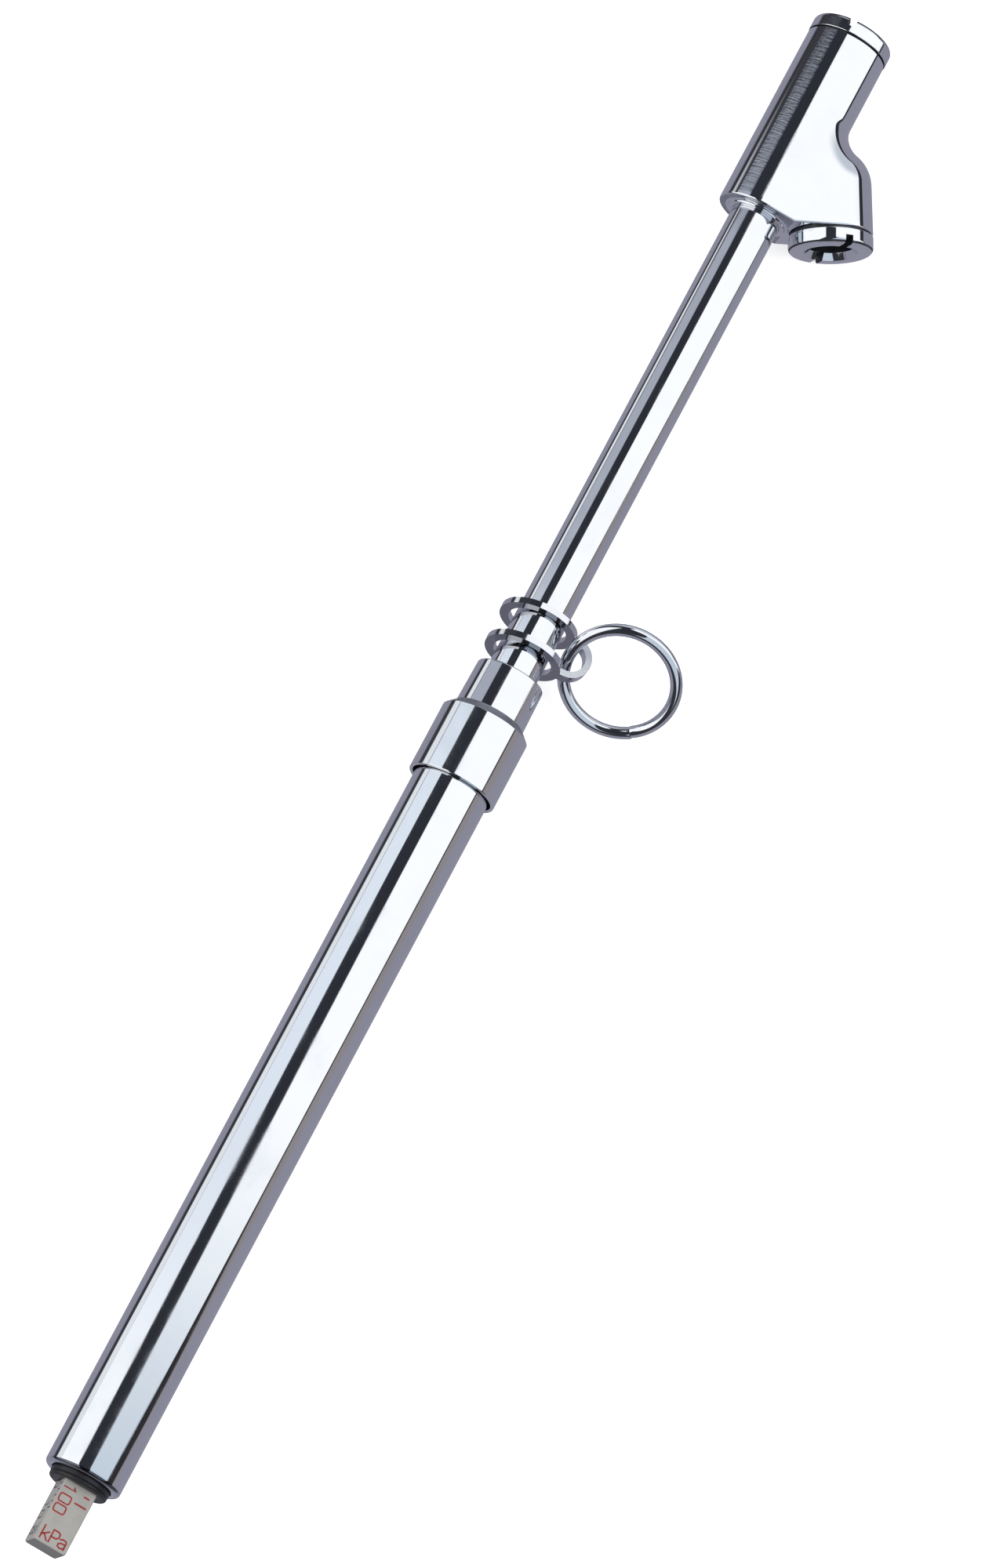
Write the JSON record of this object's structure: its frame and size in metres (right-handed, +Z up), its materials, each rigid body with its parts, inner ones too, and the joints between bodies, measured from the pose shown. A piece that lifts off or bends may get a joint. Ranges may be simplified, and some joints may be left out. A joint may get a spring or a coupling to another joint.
{
  "type": "pencil tire pressure gauge",
  "caption": "Long pencil tire pressure gauge with a straight and a reverse-angled chuck, a sliding square indicator bar, a hanger clip and a key ring.",
  "frame": {"origin": "on the gauge's axis, at the end face of the head that seats the straight chuck's cap", "axes": "+X along the gauge's axis, out of the straight chuck; +Y in the web's plane, away from the angled chuck; +Z up, the gauge lying on its side"},
  "size_m": [0.3159, 0.0369, 0.0175],
  "materials": {
    "cast_chrome": "polished chrome plate on a die casting",
    "turned_chrome": "bright chrome plate on turned metal",
    "tube_chrome": "mirror chrome plate on drawn tube",
    "fitting_chrome": "chrome plate with fine turning marks",
    "strip_chrome": "chrome plate on sheared strip",
    "wire_chrome": "chrome plate on drawn wire",
    "washer_rubber": "soft rubber",
    "cup_rubber": "soft rubber",
    "brass": "turned brass",
    "ball_steel": "bearing steel",
    "plain_steel": "zinc-bright steel",
    "spring_steel": "bright spring wire",
    "black_bushing": "black moulded bushing with a low sheen",
    "bar_plastic": "off-white plastic with a printed scale"
  },
  "bodies": {
    "root": {"head_casting": "cast_chrome", "straight_chuck_cap": "turned_chrome", "angled_chuck_cap": "turned_chrome", "straight_chuck_washer": "washer_rubber", "angled_chuck_washer": "washer_rubber", "straight_deflator_pin": "brass", "angled_deflator_pin": "brass", "shuttle_seat": "brass", "stem_tube": "tube_chrome", "stem_fitting": "fitting_chrome", "barrel_collar": "fitting_chrome", "collar_gasket": "washer_rubber", "barrel_tube": "tube_chrome", "spring_seat_washer": "plain_steel", "end_bushing": "black_bushing", "range_spring": "spring_steel"},
    "piston": {"piston_body": "brass", "piston_cup": "cup_rubber", "cup_washer": "brass", "piston_screw": "plain_steel"},
    "bar": {"indicator_bar": "bar_plastic"},
    "shuttle": {"shuttle_ball": "ball_steel"},
    "clip": {"hanger_clip": "strip_chrome"},
    "ring": {"key_ring": "wire_chrome"}
  },
  "joints": [
    {"name": "piston_slide", "type": "slide", "parent": "root", "child": "piston", "axis": [-1, 0, 0], "range_m": [0, 0.087], "stiffness_N_per_m": 1580, "springref_m": -0.0026, "deforming": ["range_spring"]},
    {"name": "bar_slide", "type": "slide", "parent": "piston", "child": "bar", "axis": [-1, 0, 0], "range_m": [-0.0093, 0]},
    {"name": "shuttle_roll", "type": "slide", "parent": "root", "child": "shuttle", "axis": [0.891, 0.454, 0], "range_m": [0, 0.0096]},
    {"name": "clip_slide", "type": "slide", "parent": "root", "child": "clip", "axis": [1, 0, 0], "range_m": [-0.0027, 0.077]},
    {"name": "ring_turn", "type": "hinge", "parent": "clip", "child": "ring", "pos_m": [-0.12576, -0.0174, 0.00099], "axis": [-0.7071, 0, 0.7071], "continuous": true}
  ]
}
